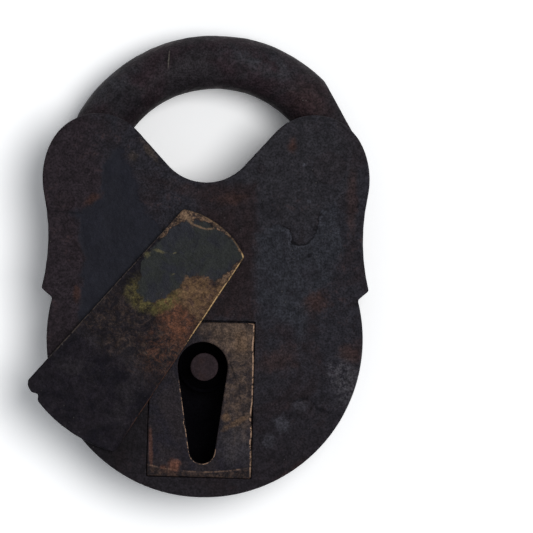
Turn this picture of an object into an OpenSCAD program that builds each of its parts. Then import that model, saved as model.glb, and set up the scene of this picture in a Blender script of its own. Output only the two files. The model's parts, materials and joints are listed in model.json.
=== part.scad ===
// Old warded iron padlock: two riveted plates with a band between them, a swinging shackle hinged
// in the right shoulder, a key-thrown bolt, and a keyhole cover that hangs on one rivet.
// It lies on its back: X to the right, Y towards the shackle, Z out of the front plate.
// The origin is on the back face, on the axis of the drill pin.

/* [Case outline] */
// Radius of the round lower body
body_r = 47.5; // [39:0.1:57]
// Height of the round body's centre above the drill pin
body_y = 8.3; // [5:0.1:11]
// Half width across the shoulders
shoulder_half_w = 49.15; // [46:0.05:56]
// Half width at the waist between shoulders and round body
waist_half_w = 47.25; // [44:0.05:54]
// Radius of the outer side of each shoulder
shoulder_r = 24; // [21:0.1:27]
// Height of the shoulders' widest point
shoulder_y = 56.5; // [52:0.1:61]
// Radius of the hollow waist
waist_r = 62; // [50:0.5:74]
// Radius of the rounded top of each shoulder
lobe_r = 15.9; // [13:0.1:17]
// Height of the shoulders' tops
lobe_top_y = 75.9; // [74:0.1:80]
// Radius of the saddle between the shoulders
saddle_r = 15.4; // [13:0.1:17]
// Height of the saddle's lowest point
saddle_y = 55.4; // [54.2:0.1:59]
// Height of the two pointed ears where the waist meets the round body
ear_y = 23.2; // [20:0.1:27]
// Slope of the ears' undersides, in degrees
ear_slope = 40; // [30:1:55]
// Length of the ears' undersides, down to the round body
ear_run = 4.5; // [4:0.1:8]

/* [Case depth] */
// Thickness of the back plate
back_t = 2.5; // [2:0.1:4]
// Clear depth between the plates
inner_d = 20.5; // [19:0.1:25]
// Thickness of the front plate
front_t = 3; // [2.6:0.1:4]
// Thickness of the band between the plates
band_t = 2.4; // [1.8:0.1:3]
// How far the band lies inside the plates' edge
band_inset = 0.4; // [0:0.1:1]

/* [Shackle] */
// Radius of the shackle's bow, to the middle of the bar
bow_r = 39.4; // [38.5:0.1:40]
// Radius of the round bar
bar_r = 8.1; // [6.4:0.1:9]
// Centre of the bow, across
bow_x = 2.5; // [1:0.05:3]
// Centre of the bow, up
bow_y = 52.3; // [51.5:0.1:53.5]
// Where the bar starts at the hinge, in degrees around the bow
heel_angle = 19; // [16:1:22]
// Depth of the flat forged on the bar's outer side above the hinge
heel_flat = 2.1; // [1:0.1:3]
// Where that flat is deepest, in degrees around the bow
heel_flat_angle = 29; // [26:1:32]
// Where the toe ends, in degrees around the bow
toe_angle = 204; // [202:1:206]
// How far the shackle swings open, in degrees
shackle_open = 74; // [40:1:76]
// Hinge pin, across
hinge_x = 37; // [36.5:0.1:37.5]
// Hinge pin, up
hinge_y = 60; // [59.5:0.1:60.5]
// Radius of the hinge pin
hinge_pin_r = 3.5; // [2.8:0.1:4.3]
// Radius of the hinge pin's flush heads
hinge_head_r = 5; // [4.6:0.1:6]
// Radius of the eye that the pin goes through
eye_r = 8.5; // [7:0.1:8.8]
// Running clearance of the eye on its pin, on the radius
hinge_clear = 0.06; // [0.02:0.01:0.1]
// Gap that the moving shackle keeps from plates, band and bolt
swing_gap = 0.6; // [0.4:0.1:1]

/* [Bolt] */
// Height of the bolt's middle line
bolt_y = 47; // [46:0.1:48]
// Height of the bolt bar, seen from the front
bolt_h = 6; // [4.5:0.1:7]
// Thickness of the bolt, front to back
bolt_t = 5; // [4:0.1:6]
// Throw of the bolt
bolt_throw = 7; // [5.5:0.1:7.5]
// Gap between the drawn bolt and the toe
bolt_gap = 1.2; // [0.8:0.1:1.6]
// Right end of the drawn bolt
bolt_tail_x = 24; // [22:0.5:25]
// Gap between the talon's two jaws
talon_w = 5.6; // [4.6:0.1:6.8]
// Width of each jaw of the talon
jaw_w = 3.6; // [3:0.1:4.5]
// Height of the talon's foot above the ward
talon_gap = 1.8; // [1.2:0.1:2.5]
// Reach of the key's bit above the drill pin
key_reach = 14.3; // [13:0.1:16]
// Width of the stem between bar and talon
stem_w = 7; // [6:0.1:8.5]
// Length of each staple along the bolt
staple_l = 5; // [4:0.1:6]
// Wall of each staple around the bolt
staple_t = 2.4; // [2:0.1:3]
// Sliding clearance of the bolt in its staples
slide_clear = 0.25; // [0.15:0.05:0.4]
// Thickness of the bolt spring's leaf
spring_t = 0.8; // [0.6:0.1:1]
// Width of the bolt spring's leaf
spring_w = 4; // [3:0.1:5]
// Radius of the post that holds the bolt spring
spring_post_r = 2.2; // [1.8:0.1:2.6]

/* [Key guides] */
// Radius of the drill pin that the key's barrel slides over
drill_pin_r = 4.2; // [3.5:0.1:5]
// Radius of the tenon that rivets the drill pin to the back plate
drill_tenon_r = 2.8; // [2.2:0.1:3.4]
// Depth of the drill pin's end below the front face
drill_pin_drop = 1.8; // [1:0.1:3]
// Middle radius of the ring ward
ward_r = 7.35; // [6.9:0.05:8.5]
// Thickness of the ring ward
ward_t = 0.9; // [0.7:0.1:1.2]
// Height of the ring ward above the back plate
ward_h = 6.3; // [5:0.1:7.5]

/* [Escutcheon] */
// Width of the inlaid escutcheon
escutcheon_w = 31.4; // [28:0.1:38]
// Height of the inlaid escutcheon
escutcheon_h = 46.7; // [42:0.1:52]
// Thickness of the escutcheon
escutcheon_t = 1.5; // [1.2:0.1:1.7]
// Middle of the escutcheon, below the drill pin
escutcheon_y = -9.8; // [-12:0.1:-8]
// Middle of the escutcheon, across
escutcheon_x = -0.8; // [-2:0.1:1]
// Tilt of the escutcheon, in degrees
escutcheon_tilt = -1; // [-4:0.5:4]
// Gap around the escutcheon in its pocket
escutcheon_gap = 0.3; // [0.2:0.05:0.5]
// Middle of the keyhole, across
keyhole_x = -0.5; // [-1:0.1:1]
// Radius of the keyhole's round top
keyhole_r = 7.5; // [6.4:0.1:8]
// Radius of the keyhole's round foot
keyhole_foot_r = 3.8; // [3:0.1:4.5]
// Distance from the drill pin to the middle of the keyhole's foot
keyhole_drop = 25.2; // [22:0.1:28]

/* [Keyhole cover] */
// Height of the cover's pivot
cover_pivot_y = 35.4; // [34:0.1:37]
// Thickness of the cover
cover_t = 2; // [1.6:0.1:2.6]
// Length from the pivot to the middle of the cover's foot
cover_l = 68.3; // [62:0.1:72]
// Length from the pivot to the cover's top edge
cover_top = 8.3; // [6.9:0.1:9.8]
// Half width at the cover's top corners
cover_top_half_w = 11.7; // [10.2:0.1:14]
// Half width at the cover's foot
cover_foot_half_w = 17; // [15:0.1:19]
// Fall of the top edge from its middle to its corners
cover_top_sag = 2.9; // [1.5:0.1:3.5]
// Rise of the foot from its middle to its corners
cover_foot_sag = 3.5; // [2.5:0.1:4.5]
// How far the rivet sits to the right of the cover's middle line
cover_side = 0.9; // [0:0.1:1.5]
// Radius of the cover's rivet
cover_rivet_r = 3; // [2.5:0.1:3.6]
// Radius of the rivet's flush outer head
cover_head_r = 3.8; // [3.5:0.1:4.6]
// Running clearance of the cover on its rivet, on the radius
cover_clear = 0.08; // [0.04:0.01:0.1]
// Gap between the cover and the front plate
cover_gap = 0.15; // [0.1:0.05:0.3]
// How far the cover has swung to the left, in degrees
cover_rest = 37.5; // [0:0.5:80]

/* [Rivets] */
// Radius of the case rivets' shanks
rivet_r = 2.2; // [1.8:0.1:2.6]
// Radius of the case rivets' flush heads
rivet_head_r = 3; // [2.7:0.1:3.6]
// Distance of the waist rivets from the case's edge
waist_rivet_inset = 5.7; // [5.4:0.1:6.4]
// Height of the waist rivets
waist_rivet_y = 49.5; // [48:0.1:50]
// Distance of the foot rivets from the case's edge
foot_rivet_inset = 10.6; // [8:0.1:13]
// Direction of the foot rivets below the body's centre line, in degrees
foot_rivet_angle = 34.2; // [25:0.5:50]
// Radius of the two small saddle pins
saddle_pin_r = 1.3; // [1.1:0.1:1.5]
// Distance of the saddle pins from the saddle's edge
saddle_pin_inset = 4.6; // [4.2:0.1:5]

/* [Hidden] */
sides = ["left", "right"];
$fn = 96;
arc_step = 5;
cut = 1;                                     // how far a cut runs past the metal
far = 120;                                   // larger than the case

// Heights of the layers
front_z = back_t + inner_d;                  // inner face of the front plate
face_z = front_z + front_t;                  // outer face of the front plate
mid_z = back_t + inner_d / 2;                // middle plane of shackle and bolt
cover_z = face_z + cover_gap;

// Centres of the outline's arcs, which all meet without a corner
shoulder_x = shoulder_half_w - shoulder_r;
lobe_y = lobe_top_y - lobe_r;
lobe_x = shoulder_x + sqrt(pow(shoulder_r - lobe_r, 2) - pow(lobe_y - shoulder_y, 2));
waist_x = waist_half_w + waist_r;
waist_y = shoulder_y - sqrt(pow(waist_r + shoulder_r, 2) - pow(waist_x - shoulder_x, 2));
saddle_c = [0, saddle_y + saddle_r];
saddle_run = [lobe_x, lobe_y] - saddle_c;
saddle_turn = atan2(saddle_run.y, saddle_run.x) - acos((saddle_r + lobe_r) / norm(saddle_run));
lobe_turn = atan2(lobe_y - shoulder_y, lobe_x - shoulder_x);
waist_turn = atan2(waist_y - shoulder_y, waist_x - shoulder_x);

// Shackle: everything inside the left shoulder stays within toe_swing_r of the hinge
hinge = [hinge_x, hinge_y];
bow = [bow_x, bow_y];
toe_swing_r = norm(bow + (bow_r + bar_r) * [cos(150), sin(150)] - hinge) + 0.3;
heel_gap_y = hinge_y - bar_r - swing_gap + 0.3;

// Bolt, drawn back
toe_inner_x = bow_x - sqrt(pow(bow_r - bar_r, 2) - pow(bow_y - bolt_y, 2));
bolt_tip_x = toe_inner_x + bolt_gap;
talon_x = bolt_throw / 2;                    // the talon crosses the drill pin at half throw
talon_foot_y = ward_r + ward_t / 2 + talon_gap;
staple_x = [bolt_tip_x + 6, bolt_tail_x - 9];
detent_x = staple_x[0] + 6;                  // where the spring's nose rests under the bar
detent_r = 1.2;
spring_post = [detent_x - 9, bolt_y - 17];

// A closed outline from its right half, whose first and last points lie on the axis
function both_sides(half) =
    concat([for (p = half) [-p.x, p.y]], [for (i = [len(half) - 2 : -1 : 1]) half[i]]);

// Points on an arc from angle a to angle b, either way round
function arc(c, r, a, b) =
    let (n = max(1, ceil(abs(b - a) / arc_step)))
    [for (i = [0 : n]) c + r * [cos(a + (b - a) * i / n), sin(a + (b - a) * i / n)]];

// Half width of the waist at height y
function waist_at(y) = waist_x - sqrt(pow(waist_r, 2) - pow(y - waist_y, 2));

// Right half of the shoulders, from the saddle's middle down to inside the round body
function shoulder_half(d) =
    let (ear = asin((ear_y + d - waist_y) / (waist_r + d)),
         tip = [waist_x, waist_y] + (waist_r + d) * [-cos(ear), sin(ear)])
    concat(
        arc(saddle_c, saddle_r + d, -90, saddle_turn),
        arc([lobe_x, lobe_y], lobe_r - d, saddle_turn + 180, lobe_turn),
        arc([shoulder_x, shoulder_y], shoulder_r - d, lobe_turn, waist_turn),
        arc([waist_x, waist_y], waist_r + d, waist_turn + 180, 180 - ear),
        let (foot = tip - ear_run * [cos(ear_slope), sin(ear_slope)])
        [foot, [foot.x, body_y], [0, body_y]]);

// The case outline, shrunk by d; a body wider than the ears ends in a step below them
module case_outline(d = 0) {
    difference() {
        translate([0, body_y]) circle(body_r - d);
        translate([-far / 2, ear_y - d]) square([far, far]);
    }
    polygon(both_sides(shoulder_half(d)));
}

// A flush rivet of the case's full depth, with a cone at each face
module flush_rivet(r, head_r) {
    cone_h = head_r - r;
    cylinder(r1 = head_r, r2 = r, h = cone_h);
    cylinder(r = r, h = face_z);
    translate([0, 0, face_z - cone_h]) cylinder(r1 = r, r2 = head_r, h = cone_h);
}

function side_sign(s) = s == "left" ? -1 : 1;
function waist_rivet_at(s) =
    [side_sign(s) * (waist_at(waist_rivet_y) - waist_rivet_inset), waist_rivet_y];
function foot_rivet_at(s) =
    [side_sign(s) * (body_r - foot_rivet_inset) * cos(foot_rivet_angle),
     body_y - (body_r - foot_rivet_inset) * sin(foot_rivet_angle)];
function saddle_pin_at(s) =
    let (a = saddle_turn + (s == "left" ? -8 : 8), r = saddle_r + saddle_pin_inset)
    saddle_c + r * [side_sign(s) * cos(a), sin(a)];

module all_rivets() {
    for (s = sides) {
        translate(waist_rivet_at(s)) flush_rivet(rivet_r, rivet_head_r);
        translate(foot_rivet_at(s)) flush_rivet(rivet_r, rivet_head_r);
        translate(saddle_pin_at(s)) cylinder(r = saddle_pin_r, h = face_z);
    }
    translate(hinge) flush_rivet(hinge_pin_r, hinge_head_r);
}

module back_plate() {
    color("dimgray") difference() {
        linear_extrude(back_t) case_outline();
        all_rivets();
        cylinder(r = drill_tenon_r, h = back_t);
        translate(spring_post) cylinder(r = spring_post_r, h = back_t);
    }
}

module keyhole() {
    lean = asin((keyhole_r - keyhole_foot_r) / keyhole_drop);
    translate([keyhole_x, 0]) polygon(concat(
        arc([0, 0], keyhole_r, -lean, 180 + lean),
        arc([0, -keyhole_drop], keyhole_foot_r, 180 + lean, 360 - lean)));
}

module escutcheon_outline(gap = 0) {
    rotate(escutcheon_tilt) translate([escutcheon_x, escutcheon_y])
        square([escutcheon_w + 2 * gap, escutcheon_h + 2 * gap], center = true);
}

module front_plate() {
    color("darkslategray") difference() {
        translate([0, 0, front_z]) linear_extrude(front_t) case_outline();
        all_rivets();
        translate([0, cover_pivot_y, 0]) cylinder(r = cover_rivet_r, h = face_z + cut);
        translate([0, 0, face_z - escutcheon_t])
            linear_extrude(escutcheon_t + cut) escutcheon_outline(escutcheon_gap);
        translate([0, 0, front_z - cut]) linear_extrude(front_t + 2 * cut) keyhole();
    }
}

module escutcheon() {
    color("saddlebrown") translate([0, 0, face_z - escutcheon_t]) linear_extrude(escutcheon_t)
        difference() {
            escutcheon_outline();
            keyhole();
        }
}

module band_ring() {
    difference() {
        case_outline(band_inset);
        case_outline(band_inset + band_t);
    }
}

// Where the strip between the shackle's two legs lies
module saddle_span() {
    intersection() {
        translate([-far / 2, bolt_y]) square([far, far]);
        translate(bow) circle(bow_r - bar_r - swing_gap);
    }
}

// The band runs from the toe's opening round the foot to the heel's opening
module side_band() {
    color("dimgray") translate([0, 0, back_t]) linear_extrude(inner_d) difference() {
        band_ring();
        saddle_span();
        intersection() {
            translate(hinge) circle(toe_swing_r + swing_gap);
            translate([-far, lobe_y]) square([far, far]);
        }
        translate([0, heel_gap_y]) square([far, far]);
    }
}

module saddle_band() {
    color("dimgray") translate([0, 0, back_t]) linear_extrude(inner_d) intersection() {
        band_ring();
        saddle_span();
    }
}

module shackle() {
    notch_h = bolt_h + 2 * swing_gap;
    notch_x = bolt_tip_x - bolt_throw - swing_gap;
    color("darkslategray") difference() {
        union() {
            intersection() {
                translate([bow_x, bow_y, mid_z]) rotate(heel_angle)
                    rotate_extrude(angle = toe_angle - heel_angle)
                        translate([bow_r, 0]) circle(bar_r);
                translate(hinge) cylinder(r = toe_swing_r, h = face_z);
            }
            translate([hinge_x, hinge_y, back_t + swing_gap / 2])
                cylinder(r = eye_r, h = inner_d - swing_gap);
        }
        translate([hinge_x, hinge_y, 0]) cylinder(r = hinge_pin_r + hinge_clear, h = face_z);
        translate([bow_x, bow_y, 0]) rotate(heel_flat_angle)
            translate([bow_r + bar_r - heel_flat, -far / 2, 0]) cube([far, far, face_z]);
        translate([notch_x, bolt_y - notch_h / 2, 0])
            cube([toe_inner_x - notch_x + bar_r, notch_h, face_z]);
    }
}

module hinge_pin() {
    color("slategray") translate(hinge) flush_rivet(hinge_pin_r, hinge_head_r);
}

// Bar, stem and talon, cut from one plate
module bolt() {
    bar_y = bolt_y - bolt_h / 2;
    foot_w = talon_w + 2 * jaw_w;
    talon_top = key_reach + 0.4;
    color("gray") translate([0, 0, mid_z - bolt_t / 2]) linear_extrude(bolt_t) difference() {
        union() {
            translate([bolt_tip_x, bar_y]) square([bolt_tail_x - bolt_tip_x, bolt_h]);
            translate([talon_x - stem_w / 2, talon_top]) square([stem_w, bolt_y - talon_top]);
            translate([talon_x - foot_w / 2, talon_foot_y])
                square([foot_w, talon_top + jaw_w - talon_foot_y]);
        }
        translate([talon_x - talon_w / 2, talon_foot_y - cut])
            square([talon_w, talon_top - talon_foot_y + cut]);
        for (x = [detent_x, detent_x + bolt_throw])
            translate([x, bar_y]) circle(detent_r + slide_clear);
    }
}

// A leaf sprung between its post and the detent under the bolt
module bolt_spring() {
    nose = [detent_x, bolt_y - bolt_h / 2];
    eye_out = spring_post_r + spring_t;
    leaf = nose - spring_post;
    color("lightslategray") translate([0, 0, mid_z - spring_w / 2]) linear_extrude(spring_w)
        difference() {
            union() {
                translate(nose) circle(detent_r);
                translate(spring_post) circle(eye_out);
                translate(spring_post) rotate(atan2(leaf.y, leaf.x))
                    translate([eye_out - spring_t, -spring_t / 2])
                        square([norm(leaf) - eye_out + spring_t, spring_t]);
            }
            translate(spring_post) circle(spring_post_r);
        }
}

module spring_post() {
    color("gray") translate(spring_post)
        cylinder(r = spring_post_r, h = mid_z + spring_w / 2 + 1);
}

// A strap from the back plate with a window that the bolt slides through
module bolt_staple(s) {
    x = staple_x[s == "left" ? 0 : 1];
    hole_h = bolt_h + 2 * slide_clear;
    hole_t = bolt_t + 2 * slide_clear;
    top_z = mid_z + hole_t / 2 + staple_t;
    color("gray") difference() {
        translate([x - staple_l / 2, bolt_y - hole_h / 2 - staple_t, back_t])
            cube([staple_l, hole_h + 2 * staple_t, top_z - back_t]);
        translate([x - staple_l / 2 - cut, bolt_y - hole_h / 2, mid_z - hole_t / 2])
            cube([staple_l + 2 * cut, hole_h, hole_t]);
    }
}

module drill_pin() {
    color("rosybrown") {
        cylinder(r = drill_tenon_r, h = back_t);
        translate([0, 0, back_t])
            cylinder(r = drill_pin_r, h = face_z - drill_pin_drop - back_t);
    }
}

module ward_ring() {
    color("gray") translate([0, 0, back_t]) difference() {
        cylinder(r = ward_r + ward_t / 2, h = ward_h);
        translate([0, 0, -cut]) cylinder(r = ward_r - ward_t / 2, h = ward_h + 2 * cut);
    }
}

// Points of an arc of the given half width and sag, bulging up from height y
function bulge(half_w, sag, y) =
    let (r = (half_w * half_w + sag * sag) / (2 * sag), a = asin(half_w / r))
    arc([0, y + sag - r], r, 90 - a, 90 + a);

module cover_outline() {
    foot = bulge(cover_foot_half_w, cover_foot_sag, cover_l - cover_foot_sag);
    translate([-cover_side, 0]) polygon(concat(
        bulge(cover_top_half_w, cover_top_sag, cover_top - cover_top_sag),
        [for (p = foot) [-p.x, -p.y]]));
}

module keyhole_cover() {
    head_h = cover_head_r - cover_rivet_r;
    bore_r = cover_rivet_r + cover_clear;
    color("darkkhaki") translate([0, cover_pivot_y, cover_z]) difference() {
        rotate(-cover_rest) linear_extrude(cover_t) cover_outline();
        translate([0, 0, -cut]) cylinder(r = bore_r, h = cover_t + 2 * cut);
        translate([0, 0, cover_t - head_h])
            cylinder(r1 = bore_r, r2 = bore_r + head_h, h = head_h);
    }
}

// The rivet's inner head lies behind the front plate, its outer one is sunk into the cover
module cover_rivet() {
    head_h = cover_head_r - cover_rivet_r;
    inner_head_h = 1.5;
    color("darkkhaki") translate([0, cover_pivot_y, 0]) {
        translate([0, 0, front_z - inner_head_h])
            cylinder(r = cover_head_r + 1, h = inner_head_h);
        translate([0, 0, front_z - inner_head_h])
            cylinder(r = cover_rivet_r, h = front_t + inner_head_h + cover_gap + cover_t);
        translate([0, 0, cover_z + cover_t - head_h])
            cylinder(r1 = cover_rivet_r, r2 = cover_head_r, h = head_h);
    }
}

module waist_rivet(s) {
    color("saddlebrown") translate(waist_rivet_at(s)) flush_rivet(rivet_r, rivet_head_r);
}

module foot_rivet(s) {
    color("saddlebrown") translate(foot_rivet_at(s)) flush_rivet(rivet_r, rivet_head_r);
}

module saddle_pin(s) {
    color("saddlebrown") translate(saddle_pin_at(s)) cylinder(r = saddle_pin_r, h = face_z);
}

back_plate();
front_plate();
side_band();
saddle_band();
shackle();
hinge_pin();
bolt();
bolt_spring();
spring_post();
drill_pin();
ward_ring();
escutcheon();
keyhole_cover();
cover_rivet();
for (s = sides) {
    bolt_staple(s);
    waist_rivet(s);
    foot_rivet(s);
    saddle_pin(s);
}
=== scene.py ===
"""A rusty iron padlock on a white table, seen from straight above.

The CAD nodes set every size and place. The plates, the bands, the shackle, the cover, the
escutcheon and the rivets are rebuilt here as worn metal: rounded edges, pits, dents and chips.
Lengths in this script are millimetres unless a name or a comment says otherwise.
"""

import itertools
import json
import math

import bmesh
import bpy
import numpy as np
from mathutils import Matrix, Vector, kdtree
from mathutils.geometry import delaunay_2d_cdt

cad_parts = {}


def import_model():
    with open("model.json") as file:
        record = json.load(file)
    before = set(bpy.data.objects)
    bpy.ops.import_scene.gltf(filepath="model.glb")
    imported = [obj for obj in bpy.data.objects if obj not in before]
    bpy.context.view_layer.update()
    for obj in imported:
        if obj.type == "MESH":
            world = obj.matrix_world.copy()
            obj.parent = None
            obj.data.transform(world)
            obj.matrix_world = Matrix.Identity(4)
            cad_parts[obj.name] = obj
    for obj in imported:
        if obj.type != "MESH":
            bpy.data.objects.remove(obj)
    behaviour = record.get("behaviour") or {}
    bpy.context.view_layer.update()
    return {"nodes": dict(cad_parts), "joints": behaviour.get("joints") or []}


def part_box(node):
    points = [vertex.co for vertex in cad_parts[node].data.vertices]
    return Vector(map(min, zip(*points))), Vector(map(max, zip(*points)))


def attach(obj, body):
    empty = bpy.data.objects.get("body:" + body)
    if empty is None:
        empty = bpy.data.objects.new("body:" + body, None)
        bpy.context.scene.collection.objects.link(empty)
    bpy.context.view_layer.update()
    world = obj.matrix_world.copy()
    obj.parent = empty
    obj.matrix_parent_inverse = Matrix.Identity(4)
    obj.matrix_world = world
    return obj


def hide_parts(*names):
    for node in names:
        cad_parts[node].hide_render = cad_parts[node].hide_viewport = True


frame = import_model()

MM = 0.001  # metres


# ---- noise on points

OCTAVE_SHIFT = 17.3  # keeps the octaves of a noise from lining up


def smooth_step(value, low, high):
    """Goes smoothly from 0 to 1 as the value goes from low to high."""
    share = np.clip((value - low) / (high - low), 0, 1)
    return share * share * (3 - 2 * share)


def lattice_value(ix, iy, iz, seed):
    """A scrambled number from -1 to 1 for each whole-numbered place."""
    n = (ix * 73856093) ^ (iy * 19349663) ^ (iz * 83492791) ^ (seed * 2654435)
    n = (n ^ (n >> 13)) * 1274126177
    return ((n ^ (n >> 16)) & 0xFFFF) / 32767.5 - 1.0


def noise(points, size, seed, octaves=3):
    """Smooth noise from about -1 to 1 at each point; size is the width of its largest lumps."""
    total, weight = np.zeros(len(points)), 1.0
    for octave in range(octaves):
        p = np.asarray(points, float) / size * 2 ** octave + OCTAVE_SHIFT * octave
        cell = np.floor(p).astype(np.int64)
        f = smooth_step(p - cell, 0, 1)
        mixed = 0.0
        for step in itertools.product((0, 1), repeat=3):
            mixed = mixed + lattice_value(*(cell + step).T, seed) * np.where(step, f, 1 - f).prod(axis=1)
        total += mixed * weight
        weight *= 0.5
    return total


def pits(points, size, share, seed):
    """0 on whole metal, up to 1 in the middle of scattered round pits."""
    p = np.asarray(points, float) / size
    cell = np.floor(p).astype(np.int64)
    depth = np.zeros(len(p))
    for step in itertools.product((-1, 0, 1), repeat=3):
        c = cell + step
        at = np.stack([0.5 + 0.4 * lattice_value(*c.T, seed + k) for k in range(3)], 1)
        here = (lattice_value(*c.T, seed + 7) * 0.5 + 0.5) < share
        radius = 0.28 + 0.16 * lattice_value(*c.T, seed + 9)
        reach = 1 - np.linalg.norm(p - c - at, axis=1) / radius
        depth = np.maximum(depth, np.where(here, np.clip(reach, 0, 1), 0))
    return smooth_step(depth, 0, 1)


# ---- the CAD nodes' points and outlines

FACE_SLACK = 0.02  # how near a height counts as at it
AXIS_R = 0.3  # points nearer an axis are the middle of a round end


def span(node):
    """The corners of a node's box."""
    low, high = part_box(node)
    return np.array(low) / MM, np.array(high) / MM


def node_points(node):
    mesh = frame["nodes"][node].data
    co = np.zeros(len(mesh.vertices) * 3)
    mesh.vertices.foreach_get("co", co)
    return co.reshape(-1, 3) / MM


def away_from(points, centre):
    """How far each point lies from an upright axis."""
    return np.linalg.norm(points[:, :2] - np.asarray(centre)[:2], axis=1)


def radius_at(node, z):
    """A round node's radius at one height."""
    points = node_points(node)
    low, high = span(node)
    return away_from(points[np.abs(points[:, 2] - z) < FACE_SLACK], (low + high) / 2).max()


def shank_radius(node, centre):
    """The radius of a pin's thinnest part."""
    radii = away_from(node_points(node), centre)
    return radii[radii > AXIS_R].min()


def shank_radius_at(centre):
    """The same for the rivet or pin whose axis is at centre."""
    for node in frame["nodes"]:
        if "rivet" in node or "pin" in node:
            low, high = span(node)
            middle = (low + high) / 2
            if np.linalg.norm(middle[:2] - centre) < 0.3:
                return shank_radius(node, middle)
    raise ValueError("no rivet or pin at %s" % centre)


def outlines(node, z):
    """The closed outlines of a node's flat face at height z, the largest first."""
    key = [tuple(np.round(p, 3)) for p in node_points(node)]
    edges = {}
    for face in frame["nodes"][node].data.polygons:
        corners = [key[i] for i in face.vertices]
        if all(abs(c[2] - z) < FACE_SLACK for c in corners):
            edges.update(dict.fromkeys(zip(corners, corners[1:] + corners[:1])))
    rim = {a: b for a, b in edges if (b, a) not in edges}
    loops = []
    while rim:
        at = next(iter(rim))
        loop = []
        while at in rim:
            loop.append(at[:2])
            at = rim.pop(at)
        loops.append(np.array(loop))
    return sorted(loops, key=lambda loop: -abs(area(loop)))


def area(loop):
    x, y = loop.T
    return 0.5 * np.sum(x * np.roll(y, -1) - np.roll(x, -1) * y)


def evened(loop, spacing, rounds=1, hole=False):
    """The loop with even steps and softened corners, counter-clockwise, or clockwise for a hole."""
    if (area(loop) > 0) == hole:
        loop = loop[::-1]
    closed = np.vstack([loop, loop[:1]])
    run = np.concatenate([[0], np.cumsum(np.linalg.norm(np.diff(closed, axis=0), axis=1))])
    count = max(24, int(run[-1] / spacing))
    at = np.linspace(0, run[-1], count, endpoint=False)
    loop = np.stack([np.interp(at, run, closed[:, k]) for k in (0, 1)], 1)
    for _ in range(rounds):
        loop = 0.5 * loop + 0.25 * (np.roll(loop, 1, 0) + np.roll(loop, -1, 0))
    return loop


def into_metal(loop):
    """Unit normals pointing to the loop's left, where the metal is."""
    run = np.roll(loop, -1, 0) - np.roll(loop, 1, 0)
    run /= np.maximum(np.linalg.norm(run, axis=1, keepdims=True), 1e-9)
    return np.stack([-run[:, 1], run[:, 0]], 1)


def at_height_0(points):
    return np.column_stack([points, np.zeros(len(points))])


def circle(centre, radius, count, hole=False):
    turn = np.linspace(0, 2 * math.pi, count, endpoint=False) * (-1 if hole else 1)
    return np.asarray(centre)[:2] + radius * np.stack([np.cos(turn), np.sin(turn)], 1)


def fitted_circle(loop):
    """The centre and radius of a round outline."""
    centre = loop.mean(0)
    return centre, away_from(loop, centre).mean()


def worn_outline(loop, seed, depth=0.18, nicks=()):
    """Eats into the metal along an outline: a wavy line, fine bites and chosen nicks.

    Each nick is (x, y, radius, depth).
    """
    p = at_height_0(loop)
    eaten = depth * (0.5 + 0.5 * noise(p, 14, seed)) + 0.35 * depth * np.abs(noise(p, 2.2, seed + 1))
    for x, y, radius, deep in nicks:
        eaten += deep * smooth_step(1 - away_from(loop, (x, y)) / radius, 0, 1)
    return loop + into_metal(loop) * eaten[:, None]


def inside(points, loop):
    x, y = points.T
    hits = np.zeros(len(points), bool)
    for (x0, y0), (x1, y1) in zip(loop, np.roll(loop, -1, 0)):
        if y0 != y1:
            hits ^= ((y0 > y) != (y1 > y)) & (x < (x1 - x0) * (y - y0) / (y1 - y0) + x0)
    return hits


def border_distance(points, outline):
    """How far each point lies inside a closed outline; negative outside it."""
    corners = np.array(outline, float)
    flat = points[:, :2]
    nearest = np.full(len(flat), 1e9)
    for a, b in zip(corners, np.roll(corners, -1, 0)):
        along = b - a
        share = np.clip(((flat - a) @ along) / (along @ along), 0, 1)
        nearest = np.minimum(nearest, np.linalg.norm(flat - a - share[:, None] * along, axis=1))
    return np.where(inside(flat, corners), nearest, -nearest)


# ---- sizes from the frame

front_low, front_high = span("front_plate")
back_low, back_high = span("back_plate")
joint = {j["name"]: j for j in frame["joints"]}
pivot = np.array(joint["cover_swing"]["pos_m"]) / MM
hinge = np.array(joint["shackle_swing"]["pos_m"]) / MM

COVER_LEAN = math.radians(37.5)  # how far the cover has swung to the left
FLUSH = 0.06  # how far worn faces and rivet heads lie below the CAD face
SCRATCH_R = 66.9  # arc that the swinging cover's corner has scratched


def on_cover(x, y):
    """A place on the cover, x across it and y up it from its rivet, in the shared frame."""
    c, w = math.cos(COVER_LEAN), math.sin(COVER_LEAN)
    return (pivot[0] + x * c + y * w, pivot[1] - x * w + y * c)


# ---- where the surfaces change

# The smooth blue-black field on the left of the front plate
DARK_FIELD = [(-29, 65), (-25, 65), (-21, 55), (-19, 48), (-13, 42), (-5, 20), (-36, -12), (-38, 16),
              (-37, 33), (-38, 43), (-41, 46), (-35, 48), (-32, 52), (-31, 58)]
# Bare blue-grey iron on the right, where the old skin has flaked off
BLUE_FIELD = [(15, 40), (20, 43), (25, 42), (26, 38), (28, 36.5), (31, 38), (33, 42), (36, 49.5), (40, 49),
              (41, 36), (38, 27), (33, 22), (30, 13), (28, 6), (26, 13), (17, 15), (15, 25)]
FLAKE_AT = (30, 41)  # where the skin's broken border is sharpest
# Reddish skin where the cover hangs when it is closed
GHOST_FIELD = [(-2, 55), (15, 55), (15.5, 40), (15, 14), (0, 14), (-4, 30)]
FRONT_FIELDS = {"dark_field": DARK_FIELD, "blue_field": BLUE_FIELD, "ghost_field": GHOST_FIELD}
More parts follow.
